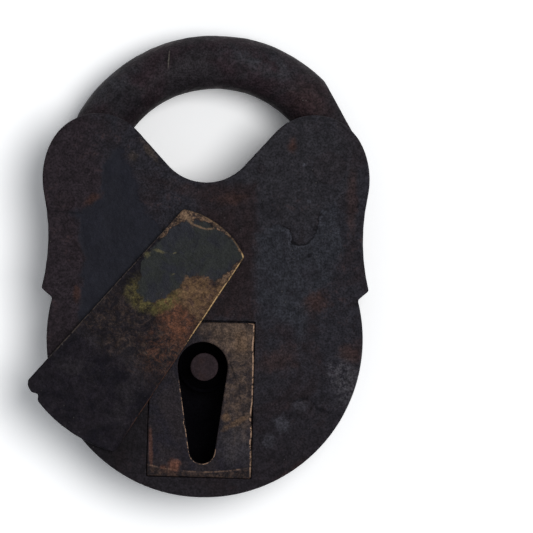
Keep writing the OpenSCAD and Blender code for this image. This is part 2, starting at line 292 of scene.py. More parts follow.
# The slate-green skin left at the cover's top, in the cover's own places
SLATE_FIELD = [(-11.5, -0.5), (-9.8, 3.4), (-7, 5.6), (-3, 6.8), (2, 7.4), (6, 6.8), (10.5, 5), (9.8, 1),
               (8.5, -6), (5.5, -6.3), (3, -7.3), (0.7, -10), (1, -13.5), (0, -17.5), (-2, -21.5),
               (-5, -23.2), (-8, -23), (-9.5, -19.5), (-12.5, -15), (-12.5, -7)]
COVER_FIELDS = {"slate_field": [on_cover(x, y) for x, y in SLATE_FIELD]}


# ---- building a worn skin

CAP_SEED = 5  # of the jitter in a cap's grid
CAP_JITTER = 0.22  # how far a grid point may move, as a share of the spacing
CRISP = (0.2, 3, 0.2)  # an edge's radius, steps and share of wear and painted highlight where nothing rubs it
RIM_CLEARANCE = 0.55  # how far grid points keep from a rim, in the same way


def linked(name, data):
    obj = bpy.data.objects.new(name, data)
    bpy.context.scene.collection.objects.link(obj)
    return obj


def level(z):
    """The height function of a flat cap."""
    return lambda points: np.full(len(points), z)


class Skin:
    """A closed metal surface, built from rings round its outlines and caps between them."""

    def __init__(self):
        self.points, self.faces, self.rim_wear_and_highlight = [], [], []

    def ring(self, loop, z, rim_wear_and_highlight=0.0):
        start = len(self.points)
        self.points += [(p[0], p[1], h) for p, h in zip(loop, np.broadcast_to(z, len(loop)))]
        self.rim_wear_and_highlight += list(np.broadcast_to(rim_wear_and_highlight, len(loop)))
        return np.arange(start, start + len(loop))

    def bridge(self, a, b):
        self.faces += zip(a, np.roll(a, -1), np.roll(b, -1), b)

    def edge(self, loop, z, inward, radius, steps=4, rim_wear_and_highlight=1.0):
        """A rounded edge from the wall at height z - inward * radius to the face at z.

        Returns its rings from wall to face.
        """
        normal = into_metal(loop)
        radius = np.broadcast_to(radius, len(loop))
        rings = []
        for turn in np.linspace(0, math.pi / 2, steps):
            inset = radius * (1 - math.cos(turn))
            drop = radius * (1 - math.sin(turn))
            # Rubbed wear and painted highlight, strongest halfway round the edge
            shine = rim_wear_and_highlight * math.sin(2 * turn) ** 2
            rings.append(self.ring(loop + normal * inset[:, None], z - inward * drop, shine))
        for a, b in zip(rings, rings[1:]):
            self.bridge(a, b)
        return rings

    def wall(self, low, high, divisions):
        """Joins two rings with evenly spaced rings between them."""
        a, b = (np.array([self.points[i] for i in ring]) for ring in (low, high))
        last = low
        for step in range(1, divisions):
            at = a + (b - a) * step / divisions
            ring = self.ring(at[:, :2], at[:, 2])
            self.bridge(last, ring)
            last = ring
        self.bridge(last, high)

    def side(self, loop, low, high, low_edge, high_edge, divisions):
        """The wall round an outline, with an edge at each height; returns its upper and lower ring.

        An edge is what edge() takes after its inward side, or None for a sharp corner.
        """
        upper, lower = (self.edge(loop, z, inward, *edge) if edge else [self.ring(loop, z)]
                        for z, inward, edge in ((high, 1, high_edge), (low, -1, low_edge)))
        self.wall(lower[0], upper[0], divisions)
        return upper[-1], lower[-1]

    def hole(self, centre, high_radius, high, low_radius, low, divisions=2, count=32):
        """The wall of a round hole; returns its upper and its lower ring."""
        upper = self.ring(circle(centre, high_radius, count, True), high)
        lower = self.ring(circle(centre, low_radius, count, True), low)
        self.wall(lower, upper, divisions)
        return upper, lower

    def cap(self, outer, holes, spacing, height):
        """Fills the flat between rings with a jittered grid; height(points) gives its z."""
        at = np.array([p[:2] for p in self.points])
        rims = [outer, *holes]
        rim_points = np.vstack([at[r] for r in rims])

        def on_metal(points):
            kept = inside(points, at[outer])
            for hole in holes:
                kept &= ~inside(points, at[hole])
            return kept

        low, high = rim_points.min(0), rim_points.max(0)
        gx, gy = np.meshgrid(np.arange(low[0], high[0], spacing), np.arange(low[1], high[1], spacing))
        gx[1::2] += spacing / 2
        grid = np.stack([gx.ravel(), gy.ravel()], 1)
        rng = np.random.default_rng(CAP_SEED)
        grid += rng.uniform(-CAP_JITTER, CAP_JITTER, grid.shape) * spacing
        grid = grid[on_metal(grid)]
        tree = kdtree.KDTree(len(rim_points))
        for i, (x, y) in enumerate(rim_points):
            tree.insert((x, y, 0), i)
        tree.balance()
        clear = [tree.find((x, y, 0))[2] > RIM_CLEARANCE * spacing for x, y in grid]
        grid = grid[np.array(clear, bool)]
        ids = np.concatenate([*rims, self.ring(grid, height(at_height_0(grid)))])
        edges, start = [], 0
        for n in map(len, rims):
            edges += [(start + i, start + (i + 1) % n) for i in range(n)]
            start += n
        made = delaunay_2d_cdt([Vector(p) for p in (*rim_points, *grid)], edges, [], 0, 1e-7, True)
        verts, faces, source = made[0], made[2], made[3]
        back = [ids[s[0]] if s else None for s in source]
        middle = np.array([np.mean([verts[i] for i in f], axis=0) for f in faces])
        for face, wanted in zip(faces, on_metal(middle)):
            corners = [back[i] for i in face]
            if wanted and None not in corners:
                self.faces.append(corners)

    def object(self, name, dent=None, fields=None):
        """The finished object; fields are outlines whose border distances it carries by name."""
        points = np.array(self.points, float)
        mesh = bpy.data.meshes.new(name)
        mesh.from_pydata([tuple(p) for p in points * MM], [], [tuple(map(int, f)) for f in self.faces])
        store(mesh, "rim_wear_and_highlight", self.rim_wear_and_highlight)
        for field, outline in (fields or {}).items():
            store(mesh, field, border_distance(points, outline))
        return finished(name, mesh, dent)


def store(mesh, name, values):
    layer = mesh.attributes.new(name, "FLOAT", "POINT")
    layer.data.foreach_set("value", np.asarray(values, np.float32))


def finished(name, mesh, dent=None):
    """An object with outward smooth faces; dent(points, normals) moves them along their normals."""
    bm = bmesh.new()
    bm.from_mesh(mesh)
    bmesh.ops.recalc_face_normals(bm, faces=bm.faces)
    bm.to_mesh(mesh)
    bm.free()
    if dent:
        count = len(mesh.vertices)
        co, normal = np.zeros(count * 3), np.zeros(count * 3)
        mesh.vertices.foreach_get("co", co)
        mesh.vertex_normals.foreach_get("vector", normal)
        co, normal = co.reshape(-1, 3) / MM, normal.reshape(-1, 3)
        co += normal * dent(co, normal)[:, None]
        mesh.vertices.foreach_set("co", (co * MM).ravel())
    mesh.polygons.foreach_set("use_smooth", [True] * len(mesh.polygons))
    mesh.update()
    return linked(name, mesh)


# ---- the plates

def plate_relief(points, seed):
    """Height of an old hand-worked plate: slow waves, fine roughness and rust pits."""
    slow = 0.10 * noise(points, 34, seed, 2)
    fine = 0.035 * noise(points, 3.2, seed + 3)
    pitted = np.clip(0.5 + 1.6 * noise(points, 26, seed + 5, 2), 0, 1)
    return slow + fine - 0.16 * pitted * pits(points, 3.4, 0.35, seed + 8) - FLUSH


def level_near(points, centre, radius, relief):
    """Fades a face's relief out to the flush level round a rivet's head."""
    away = smooth_step(away_from(points, centre), radius, radius + 2.5)
    return relief * away - FLUSH * (1 - away)


def plate_edge(loop, seed, low=0.25, high=0.75):
    """How rounded the plate's edge is along its outline."""
    return low + (high - low) * (0.5 + 0.5 * noise(at_height_0(loop), 9, seed)).clip(0, 1)


def front_plate():
    top, low = front_high[2], front_low[2]
    floor_z = span("escutcheon")[0][2]
    outer, pocket, *rivets = outlines("front_plate", top)
    keyhole = outlines("front_plate", low)[1]
    outer = worn_outline(evened(outer, 0.5), 11, 0.06)
    pocket = evened(pocket, 0.6, hole=True)
    # The pocket's edge has been hammered against the escutcheon everywhere but at the top
    moved = np.where(pocket[:, 1] > pocket[:, 1].max() - 1, 0.2, -0.2)
    pocket = pocket + into_metal(pocket) * moved[:, None]
    keyhole = evened(keyhole, 0.8, hole=True)

    skin = Skin()
    rim, foot = skin.side(outer, low, top, CRISP, [plate_edge(outer, 13)], 3)
    pocket_edge = [plate_edge(pocket, 14, 0.1, 0.3), 3, 0.3]
    pocket_rim, pocket_foot = skin.side(pocket, floor_z, top, None, pocket_edge, 2)
    key_rim, key_foot = skin.side(keyhole, low, floor_z, None, None, 3)
    heads = [fitted_circle(rivet) for rivet in rivets]
    holes = [skin.hole(centre, radius, top - FLUSH, min(radius, shank_radius_at(centre)), low)
             for centre, radius in heads]

    def height(points):
        ramp = 0.35 + 2.0 * smooth_step(away_from(points, FLAKE_AT), 9, 15)
        border = border_distance(points, BLUE_FIELD) + 0.8 * noise(points, 3, 23)
        bare = smooth_step(border / ramp, -1, 1)
        rough = 0.06 * noise(points, 1.6, 24) * (1 - smooth_step(border_distance(points, DARK_FIELD), -2, 2))
        relief = plate_relief(points, 21) + rough - 0.14 * bare
        for centre, radius in heads:
            relief = level_near(points, centre, radius, relief)
        return top + relief

    skin.cap(rim, [pocket_rim, *(upper for upper, _ in holes)], 0.6, height)
    skin.cap(pocket_foot, [key_rim], 1.5, level(floor_z))
    skin.cap(foot, [key_foot, *(lower for _, lower in holes)], 2.5, level(low))
    return skin.object("worn_front_plate", fields=FRONT_FIELDS)


def back_plate():
    top, low = back_high[2], back_low[2]
    outer, *rivets = outlines("back_plate", low)
    outer = worn_outline(evened(outer, 0.8, 4), 31)

    skin = Skin()
    rim, foot = skin.side(outer, low, top, [plate_edge(outer, 33)], CRISP, 3)
    holes = [skin.hole(centre, radius * 0.9, top, radius, low + FLUSH)
             for centre, radius in map(fitted_circle, rivets)]
    skin.cap(rim, [upper for upper, _ in holes], 2.5, level(top))
    skin.cap(foot, [lower for _, lower in holes], 0.8,
             lambda p: low - plate_relief(p, 41).clip(None, 0.0) + 0.01)
    return skin.object("worn_back_plate")


def band(node, seed):
    """A strip bent on edge between the plates."""
    low, top = (corner[2] for corner in span(node))
    outer = evened(outlines(node, top)[0], 0.75)

    skin = Skin()
    rim, foot = skin.side(outer, low, top, None, None, 24)
    skin.cap(rim, [], 1.2, level(top))
    skin.cap(foot, [], 1.2, level(low))

    def dent(points, normals):
        ends = np.minimum(points[:, 2] - low, top - points[:, 2]).clip(0, 1)
        shape = 0.10 * noise(points, 18, seed, 2) + 0.05 * noise(points, 3, seed + 2)
        return (shape - 0.12 - 0.2 * pits(points, 3.6, 0.4, seed + 4)) * ends

    return skin.object("worn_" + node, dent)


# ---- escutcheon and cover

def escutcheon():
    low, top = (corner[2] for corner in span("escutcheon"))
    outer, keyhole = outlines("escutcheon", top)
    right = outer[:, 0].max()
    outer = worn_outline(evened(outer, 0.45), 51, 0.08,
                         [(right, -15, 5, 0.35), (right, -23, 3, 0.3), (right, 6, 4, 0.2)])
    keyhole = worn_outline(evened(keyhole, 0.45, hole=True), 52, 0.1, [(-6.0, -17.0, 1.6, 0.4)])
    rubbed = np.where(outer[:, 0] > right - 1, 0.3, 0.0)

    skin = Skin()
    rim, foot = skin.side(outer, low, top, None, [plate_edge(outer, 53, 0.15, 0.45) + rubbed], 2)
    key_rim, key_foot = skin.side(keyhole, low, top, None, [plate_edge(keyhole, 54, 0.12, 0.35)], 2)

    def height(points):
        groove = np.clip(1 - np.abs(away_from(points, pivot) - SCRATCH_R) / 0.4, 0, 1)
        return (top + 0.07 * noise(points, 16, 55, 2) + 0.03 * noise(points, 2.2, 56) - 0.05
                - 0.12 * groove - 0.15 * pits(points, 2.6, 0.25, 57))

    skin.cap(rim, [key_rim], 0.42, height)
    skin.cap(foot, [key_foot], 2.0, level(low))
    return skin.object("worn_escutcheon")


def keyhole_cover():
    low, top = (corner[2] for corner in span("keyhole_cover"))
    outer, hole = outlines("keyhole_cover", low)
    tip_x, tip_y = outer[outer[:, 0].argmin()]
    outer = worn_outline(evened(outer, 0.5, 2), 61, 0.12,
                         [(tip_x + 2.6, tip_y - 4.4, 1.9, 1.2), (tip_x, tip_y, 1.5, 0.5)])
    head = radius_at("cover_rivet", span("cover_rivet")[1][2]) + 0.01

    skin = Skin()
    rim, foot = skin.side(outer, low, top, CRISP, [plate_edge(outer, 63, 0.2, 0.6)], 2)
    upper, lower = skin.hole(pivot, head, top - FLUSH, away_from(hole, pivot).mean(), low, 3, 48)
    # A narrow collar keeps the smooth shading flat right up to the rivet
    collar = skin.ring(circle(pivot, head + 0.04, 48, True), top - FLUSH)
    skin.bridge(upper, collar)

    def height(points):
        wave = 0.10 * noise(points, 22, 64, 2) + 0.03 * noise(points, 2.4, 65)
        relief = wave - 0.10 - 0.15 * pits(points, 2.8, 0.22, 66)
        return top + level_near(points, pivot, head, relief)

    skin.cap(rim, [collar], 0.5, height)
    skin.cap(foot, [lower], 2.0, level(low))
    return skin.object("worn_keyhole_cover", fields=COVER_FIELDS)


# ---- shackle, pins and rivets

def shackle():
    """The CAD shackle remeshed finely, then pitted and flattened as forged iron is."""
    work = linked("shackle_work", frame["nodes"]["shackle"].data.copy())
    work.modifiers.new("weld", "WELD").merge_threshold = 1e-6
    remesh = work.modifiers.new("remesh", "REMESH")
    remesh.mode = "VOXEL"
    remesh.voxel_size = 0.55 * MM
    work.modifiers.new("smooth", "SMOOTH").iterations = 3
    graph = bpy.context.evaluated_depsgraph_get()
    mesh = bpy.data.meshes.new_from_object(work.evaluated_get(graph))
    bpy.data.objects.remove(work)
    mesh.name = "worn_shackle"
    mesh.materials.clear()

    def dent(points, normals):
        free = np.clip((away_from(points, hinge) - 4.2) / 0.6, 0, 1)
        shape = 0.18 * noise(points, 16, 71, 2) + 0.06 * noise(points, 3, 72)
        pitted = np.clip(0.6 + 1.5 * noise(points, 20, 73, 2), 0, 1)
        return free * (shape - 0.06 - 0.22 * pitted * pits(points, 3.2, 0.4, 74))

    return finished("worn_shackle", mesh, dent)


def turned(name, profile, centre, seed, count=40, rough=0.03, fields=None):
    """A turned or hammered piece: profile is (radius, z) from its lower axis point to its upper."""
    skin = Skin()
    rings = [skin.ring(circle(centre, radius, count), z) for radius, z in profile[1:-1]]
    for a, b in zip(rings, rings[1:]):
        skin.bridge(a, b)
    for ring, (_, z) in ((rings[0], profile[0]), (rings[-1], profile[-1])):
        tip = skin.ring([centre], z)[0]
        skin.faces += [(i, j, tip) for i, j in zip(ring, np.roll(ring, -1))]

    def dent(points, normals):
        ends = np.abs(normals[:, 2]) > 0.5
        return np.where(ends, rough * (noise(points, 2, seed) - 0.3), 0)

    return skin.object(name, dent, fields)


def disc_rings(radius, z, up, edge, steps=5):
    """Profile points of a flat round end with a rounded edge, from its rim to near its axis."""
    rim = [(radius - edge * (1 - math.cos(t)), z - up * edge * (1 - math.sin(t)))
           for t in np.linspace(0, math.pi / 2, 4)]
    flat = radius - 2 * edge
    return rim + [(flat * (1 - k / steps), z) for k in range(steps)]


def pin_profile(low_radius, low, high_radius, high, steps, edge=0.25):
    """A round pin with rounded ends; steps are (radius, z) points between the ends."""
    foot = disc_rings(low_radius, low, -1, edge)[::-1]
    head = disc_rings(high_radius, high, 1, edge)
    return [(0, low), *foot, *steps, *head, (0, high)]


def rivet(node, seed):
    """A rivet through the whole case with a cone under each flush head."""
    low, high = span(node)
    centre = (low + high) / 2
    head = away_from(node_points(node), centre).max() - 0.02
    shank = shank_radius(node, centre) - 0.03
    taper = head - shank + 0.3
    steps = [(shank, low[2] + taper), (shank, high[2] - taper)]
    profile = pin_profile(head, low[2] + FLUSH, head, high[2] - FLUSH + 0.01, steps, 0.03)
    return turned("worn_" + node, profile, centre, seed, fields=FRONT_FIELDS)


def drill_pin():
    low, high = span("drill_pin")
    radius = (high[0] - low[0]) / 2
    tenon = radius_at("drill_pin", low[2])
    steps = [(tenon, back_high[2] - 0.05), (radius, back_high[2] + 0.02), (radius, high[2] - 2)]
    profile = pin_profile(tenon, low[2] + 0.02, radius, high[2], steps)
    return turned("worn_drill_pin", profile, (low + high) / 2, 81, 56, 0.06)


def cover_rivet():
    low, high = span("cover_rivet")
    head, inner_head = radius_at("cover_rivet", high[2]), radius_at("cover_rivet", low[2])
    shank = shank_radius("cover_rivet", pivot)
    steps = [(inner_head, front_low[2] - 0.05), (shank, front_low[2] + 0.02),
             (shank, high[2] - (head - shank) - 0.25)]
    profile = pin_profile(inner_head, low[2], head, high[2] - FLUSH + 0.01, steps, 0.02)
    return turned("worn_cover_rivet", profile, pivot, 83, 48, 0.03, COVER_FIELDS)


# ---- colours

def rgb(r, g, b):
    """A display colour, 0 to 255, as scene-linear RGBA."""
    def one(c):
        c /= 255
        return c / 12.92 if c <= 0.04045 else ((c + 0.055) / 1.055) ** 2.4
    return (one(r), one(g), one(b), 1.0)


BLUE_BLACK = rgb(20, 21, 28)
GREY_IRON = rgb(32, 31, 36)
OLIVE_IRON = rgb(35, 34, 38)
STEEL_BLUE = rgb(38, 39, 44)
MAUVE_IRON = rgb(33, 27, 31)
RED_BROWN = rgb(30, 23, 25)
DULL_RUST = rgb(52, 34, 29)
PALE_SPECK = rgb(92, 88, 86)
DARK_PIT = rgb(7, 6, 10)
# Near-black for painted shade inside the case
INSIDE_SHADE_BLACK = rgb(7, 6, 11)


# ---- node trees

class Tree:
    """Builds a node tree; whatever goes into a socket is a plain value or another socket."""

    def __init__(self, owner):
        owner.use_nodes = True
        self.tree = owner.node_tree

    def put(self, socket, value):
        if isinstance(value, bpy.types.NodeSocket):
            self.tree.links.new(value, socket)
        else:
            socket.default_value = value

    def node(self, kind, inputs=None, **settings):
        made = self.tree.nodes.new("ShaderNode" + kind)
        for key, value in settings.items():
            setattr(made, key, value)
        for socket, value in (inputs or {}).items():
            self.put(made.inputs[socket], value)
        return made

    def math(self, operation, a, b=0.0):
        return self.node("Math", {0: a, 1: b}, operation=operation).outputs[0]

    def both(self, a, b):
        return self.math("MULTIPLY", a, b)

    def either(self, value, *more):
        for other in more:
            value = self.math("MAXIMUM", value, other)
        return value

    def plain_ray(self):
        """1 for the rays that see the room as plain white: the camera's, mirrored or not."""
        ray = self.node("LightPath").outputs
        return self.either(*(ray["Is %s Ray" % kind] for kind in ("Camera", "Glossy", "Transmission")))


class Shader(Tree):
    """One material, painted coat by coat on a first colour; lengths and places are in mm."""

    def __init__(self, name, colour):
        self.material = bpy.data.materials.new(name)
        super().__init__(self.material)
        self.colour = colour
        self.bsdf = next(n for n in self.tree.nodes if n.type == "BSDF_PRINCIPLED")
        self.where = self.node("TexCoord").outputs["Object"]

    def frame(self, centre=(0, 0), size=(1, 1), turn=0.0):
        """Coordinates about a centre, turned, with size as the unit."""
        return self.node("Mapping", {
            "Vector": self.where,
            "Location": (centre[0] * MM, centre[1] * MM, 0),
            "Rotation": (0, 0, math.radians(turn)),
            "Scale": (size[0] * MM, size[1] * MM, MM * (size[0] + size[1]) / 2),
        }, vector_type="TEXTURE").outputs[0]

    def noise(self, size, detail=4.0, rough=0.6, warp=0.0, stretch=(1, 1)):
        """Noise from 0 to 1 with lumps of the given size."""
        where = self.frame((size * 7.3, size * 3.1), (size * stretch[0], size * stretch[1]))
        return self.node("TexNoise", {"Vector": where, "Scale": 1.0, "Detail": detail, "Roughness": rough,
                                      "Distortion": warp}).outputs[0]

    def cells(self, size):
        """Distance to the nearest of scattered points, with size as the unit."""
        where = self.frame((size * 5.1, size * 1.7), (size, size))
        return self.node("TexVoronoi", {"Vector": where, "Scale": 1.0}).outputs["Distance"]

    def step(self, value, low, high, to_low=0.0, to_high=1.0):
        """Goes smoothly from to_low to to_high as the value goes from low to high."""
        return self.node("MapRange", {"Value": value, "From Min": low, "From Max": high, "To Min": to_low,
                                      "To Max": to_high}, interpolation_type="SMOOTHSTEP").outputs[0]

    def line(self, value, at, wide, narrow):
        """1 where the value is within narrow of a number, 0 where it is wide of it."""
        return self.step(self.math("ABSOLUTE", self.math("SUBTRACT", value, at)), wide, narrow)

    def mix(self, a, b, share):
        return self.node("Mix", {"Factor": share, 6: a, 7: b}, data_type="RGBA").outputs[2]

    def mix_value(self, a, b, share):
        return self.node("Mix", {"Factor": share, 2: a, 3: b}, data_type="FLOAT").outputs[0]

    def length(self, vector):
        """Distance from the axis, on the flat."""
        flat = self.node("VectorMath", {0: vector, 1: (1, 1, 0)}, operation="MULTIPLY").outputs[0]
        return self.node("VectorMath", {0: flat}, operation="LENGTH").outputs["Value"]

    def height(self):
        """Height in the shared frame."""
        return self.math("DIVIDE", self.node("SeparateXYZ", {0: self.where}).outputs[2], MM)

    def ragged(self, value, grain, rough, sway):
        """The value, wavering by up to about sway."""
        wobble = self.both(self.math("SUBTRACT", self.noise(grain, 5, rough), 0.5), sway * 2)
        return self.math("ADD", value, wobble)

    def patch(self, centre, size, turn=0.0, soft=0.35, sway=0.5, grain=6.0, box=False):
        """1 inside an ellipse or box about a centre, 0 outside, with a ragged soft border."""
        local = self.frame(centre, size, turn)
        if box:
            across, up = self.node("SeparateXYZ", {0: local}).outputs[:2]
            reach = self.either(self.math("ABSOLUTE", across), self.math("ABSOLUTE", up))
        else:
            reach = self.length(local)
        return self.step(self.ragged(reach, grain, 0.6, sway), 1 + soft, 1 - soft)

    def attribute(self, name):
        return self.node("Attribute", attribute_name=name).outputs["Fac"]

    def border(self, field, grain, sway):
        """How far inside a field's ragged border a place lies."""
        return self.ragged(self.attribute(field), grain, 0.65, sway)

    def paint(self, colour, *shares):
        """A coat of colour as strong as the product of its shares."""
        share = shares[0]
        for more in shares[1:]:
            share = self.both(share, more)
        self.colour = self.mix(self.colour, colour, share)

    def stain(self, colour, spots, soft=0.7, sway=1.2, grain=3):
        """Stains: each spot is (x, y, half width, half height, turn, strength)."""
        for x, y, wide, high, turn, strength in spots:
            self.paint(colour, self.patch((x, y), (wide, high), turn, soft, sway, grain), strength)

    def scaled(self, colour, level):
        plain = colour if isinstance(colour, bpy.types.NodeSocket) else colour[:3]
        return self.node("VectorMath", {0: plain, "Scale": level}, operation="SCALE").outputs[0]

    def grained(self, colour, size, low, high, detail=4.0):
        """The colour made darker and lighter in grains of the given size."""
        return self.scaled(colour, self.step(self.noise(size, detail, 0.7), 0.34, 0.66, low, high))

    def crust(self, depth, pits, flecks):
        """Clouds of 2.6 mm and grain of 0.6 mm, then dark pits and a few pale dust specks."""
        for size, share, detail in ((2.6, 0.55, 4.0), (0.6, 0.75, 2.0)):
            deep = self.both(depth, share)
            low, high = self.math("SUBTRACT", 1.0, deep), self.math("ADD", 1.0, deep)
            self.colour = self.grained(self.colour, size, low, high, detail)
        self.paint(DARK_PIT, self.step(self.noise(0.9, 3, 0.7), 0.38, 0.28), pits)
        reach = self.math("ADD", self.cells(1.7), self.both(self.noise(0.5, 2), 0.3))
        dusty = self.step(self.noise(9, 4, 0.6), 0.50, 0.66)
        self.paint(PALE_SPECK, self.step(reach, 0.30, 0.18), dusty, flecks)

    def bump(self, *layers):
        """Layers are (height, depth); the finest comes last."""
        normal = {}
        for height, depth in layers:
            made = self.node("Bump", {"Strength": 1.0, "Distance": depth * MM, "Height": height, **normal})
            normal = {"Normal": made.outputs[0]}
        self.put(self.bsdf.inputs["Normal"], normal["Normal"])

    def finish(self, roughness, metallic=0.0, specular=0.06):
        values = {"Base Color": self.colour, "Roughness": roughness, "Metallic": metallic,
                  "Specular IOR Level": specular}
        for socket, value in values.items():
            self.put(self.bsdf.inputs[socket], value)
        return self.material


# ---- node materials

def front_skin(name, browned=0.0):
    """The front plate's surface; rivet heads carry it too, a little browner."""
    s = Shader(name, GREY_IRON)
    middle, fine = s.noise(5, 5, 0.65, 0.3), s.noise(1.5, 4, 0.7)
    s.paint(RED_BROWN, s.step(s.noise(24, 6, 0.7, 0.6), 0.46, 0.60, 0.0, 0.6))
    s.paint(MAUVE_IRON, s.patch((-42, 36), (14, 46), 0, 0.25, 0.35, 9), 0.9)
    s.paint(OLIVE_IRON, s.patch((27, 60), (17, 20), 0, 0.4, 0.4, 9), s.step(middle, 0.3, 0.6, 0.5, 1.0))
    # Reddish skin under the closed cover's place
    ghost = s.step(s.border("ghost_field", 4, 3.0), -1.5, 1.5)
    s.paint(RED_BROWN, ghost, s.step(middle, 0.30, 0.62, 0.6, 1.0))
    blooms = s.step(s.noise(2.6, 6, 0.75, 0.5), 0.54, 0.64)
    s.paint(DULL_RUST, blooms, s.step(s.noise(14), 0.45, 0.62), 0.25)
    # Bare blue-grey iron with upright brushing, its border sharp only at the broken flake
    near = s.patch(FLAKE_AT, (12, 10), 0, 0.25, 0.2, 6)
    edge = s.border("blue_field", 3.0, 2.4)
    soft = s.mix_value(2.2, 0.25, near)
    bare = s.step(edge, s.both(soft, -1.0), soft)
    brushed = s.noise(0.6, 4, 0.65, stretch=(0.5, 5.0))
    blue = s.mix(BLUE_BLACK, STEEL_BLUE, s.step(brushed, 0.20, 0.55))
    blue = s.mix(blue, GREY_IRON, s.step(s.noise(6, 4, 0.6), 0.46, 0.68, 0.0, 0.8))
    s.paint(blue, bare, 0.9)
    # A dark line along the flake's broken border, and just inside it a painted highlight along the broken
    # edge
    s.paint(DARK_PIT, s.line(edge, 0.0, 0.45, 0.10), s.patch(FLAKE_AT, (8.5, 7.5), 0, 0.3, 0.2, 6), 0.8)
    s.paint(rgb(62, 63, 70), s.line(edge, 0.75, 0.45, 0.1), near, s.step(middle, 0.4, 0.6), 0.35)
    # Smooth blue-black field on the left
    smooth = s.step(s.border("dark_field", 5, 3.0), -0.8, 1.0)
    s.paint(s.grained(BLUE_BLACK, 9, 0.9, 1.12), smooth, 0.94)
    # Darker towards the foot; painted shade darkens it most at the lower left under the cover's foot
    s.paint(rgb(22, 17, 20), s.patch((0, -33), (60, 24), 0, 0.7, 0.3, 12), 0.6)
    painted_shade_under_cover = s.patch((-36, -14), (24, 20), 40, 0.6, 0.3, 12)
    s.colour = s.scaled(s.colour, s.mix_value(1.0, 0.52, painted_shade_under_cover))
    worn = s.patch((42.5, -4), (4, 6.5), 20, 0.7, 1.0, 3)
    s.paint(rgb(66, 64, 68), worn, s.step(fine, 0.44, 0.56), 0.65)
    s.stain(DULL_RUST, (
        (8, 50.5, 4, 1.8, 0, 0.45), (33.5, 20, 3.5, 3, 20, 0.6), (43.8, 50, 1.4, 9, 0, 0.4),
        (44, 4.5, 3.2, 2.6, 0, 0.5), (22, 2, 6, 3, 15, 0.35), (28, -31.5, 7, 2, 32, 0.35),
        (-33.8, 50.3, 2.6, 1.2, 35, 0.7), (-38.5, 22, 0.9, 2.0, 0, 0.7), (25.8, 66.5, 1.2, 2.0, 0, 0.7),
        (-6, 53, 5, 1.6, -20, 0.2), (-38.5, -21, 3.0, 0.8, -45, 0.5)))
    s.stain(rgb(66, 57, 49), (
        (-17, 64.5, 3.4, 0.9, -52, 0.5), (-22, 63, 1.2, 1.6, 0, 0.3)), 0.6, 1.3, 1.6)
    s.stain(DARK_PIT, (
        (31, 33.8, 0.8, 0.6, 30, 0.8), (29, -9.6, 2.2, 0.45, 14, 0.8), (35.5, -12.5, 2.2, 0.6, -22, 0.8),
        (32.5, -11.5, 0.5, 1.6, -30, 0.7), (26, -14.5, 0.5, 1.6, -20, 0.7), (33, 56, 0.4, 4.5, 18, 0.5),
        (19, 47.5, 3.5, 3, 0, 0.30), (-41.5, 46, 4.5, 0.3, -4, 0.6)), 0.5, 1.1, 1.6)
    s.stain(rgb(54, 54, 60), (
        (29, -11.5, 2.0, 1.6, 0, 0.45), (23.5, -17, 2.0, 2.6, 30, 0.45), (19.5, -22, 2.0, 2.0, 0, 0.35),
        (29.5, 61, 0.7, 0.5, 0, 0.9), (31, 50, 0.6, 0.5, 0, 0.8), (28, 54, 0.3, 0.7, 0, 0.6)), 0.5, 1.2, 1.4)
    s.paint(RED_BROWN, browned)
    rough_skin = s.math("SUBTRACT", 1.0, smooth)
    s.crust(s.mix_value(0.18, 0.58, rough_skin), 0.5, s.mix_value(0.0, 0.5, rough_skin))
    # Lighter rims: rubbed metal, and partly a painted highlight along the plate's edges
    s.paint(rgb(66, 63, 67), s.attribute("rim_wear_and_highlight"), s.step(middle, 0.42, 0.64), 0.3)
    s.bump((s.noise(9, 4, 0.55), 0.35), (s.both(s.noise(2.2, 4, 0.65), rough_skin), 0.24), (fine, 0.10))
    return s.finish(s.mix_value(0.62, 0.46, smooth), 0.2)


def back_iron():
    s = Shader("back_iron", GREY_IRON)
    large, middle, fine = s.noise(22, 5, 0.6, 0.4), s.noise(6, 5, 0.65, 0.3), s.noise(1.6, 4, 0.7)
    s.paint(MAUVE_IRON, s.step(large, 0.35, 0.6))
    s.paint(DULL_RUST, s.step(large, 0.50, 0.62), s.step(middle, 0.44, 0.60), 0.6)
    s.crust(0.5, 0.6, 0.4)
    s.paint(rgb(70, 66, 68), s.attribute("rim_wear_and_highlight"), s.step(middle, 0.35, 0.6), 0.5)
    # Painted shade: its inner face, inside the case, is painted near-black
    s.paint(INSIDE_SHADE_BLACK, s.step(s.height(), back_high[2] - 0.8, back_high[2] - 0.1))
    s.bump((s.noise(8, 4, 0.55), 0.5), (s.noise(2.2, 4, 0.65), 0.28), (fine, 0.12))
    return s.finish(s.step(middle, 0.3, 0.7, 0.5, 0.72), 0.1, 0.02)


def band_iron():
    s = Shader("band_iron", GREY_IRON)
    large, middle, fine = s.noise(16, 5, 0.6, 0.5), s.noise(5, 5, 0.65, 0.3), s.noise(1.4, 4, 0.7)
    s.paint(RED_BROWN, s.step(large, 0.35, 0.6))
    s.paint(DULL_RUST, s.step(large, 0.45, 0.62), s.step(middle, 0.42, 0.60), 0.75)
    s.crust(0.5, 0.6, 0.3)
    s.bump((s.noise(6, 4, 0.55), 0.5), (s.noise(1.8, 4, 0.65), 0.28), (fine, 0.12))
    return s.finish(s.step(middle, 0.3, 0.7, 0.55, 0.8), 0.2)


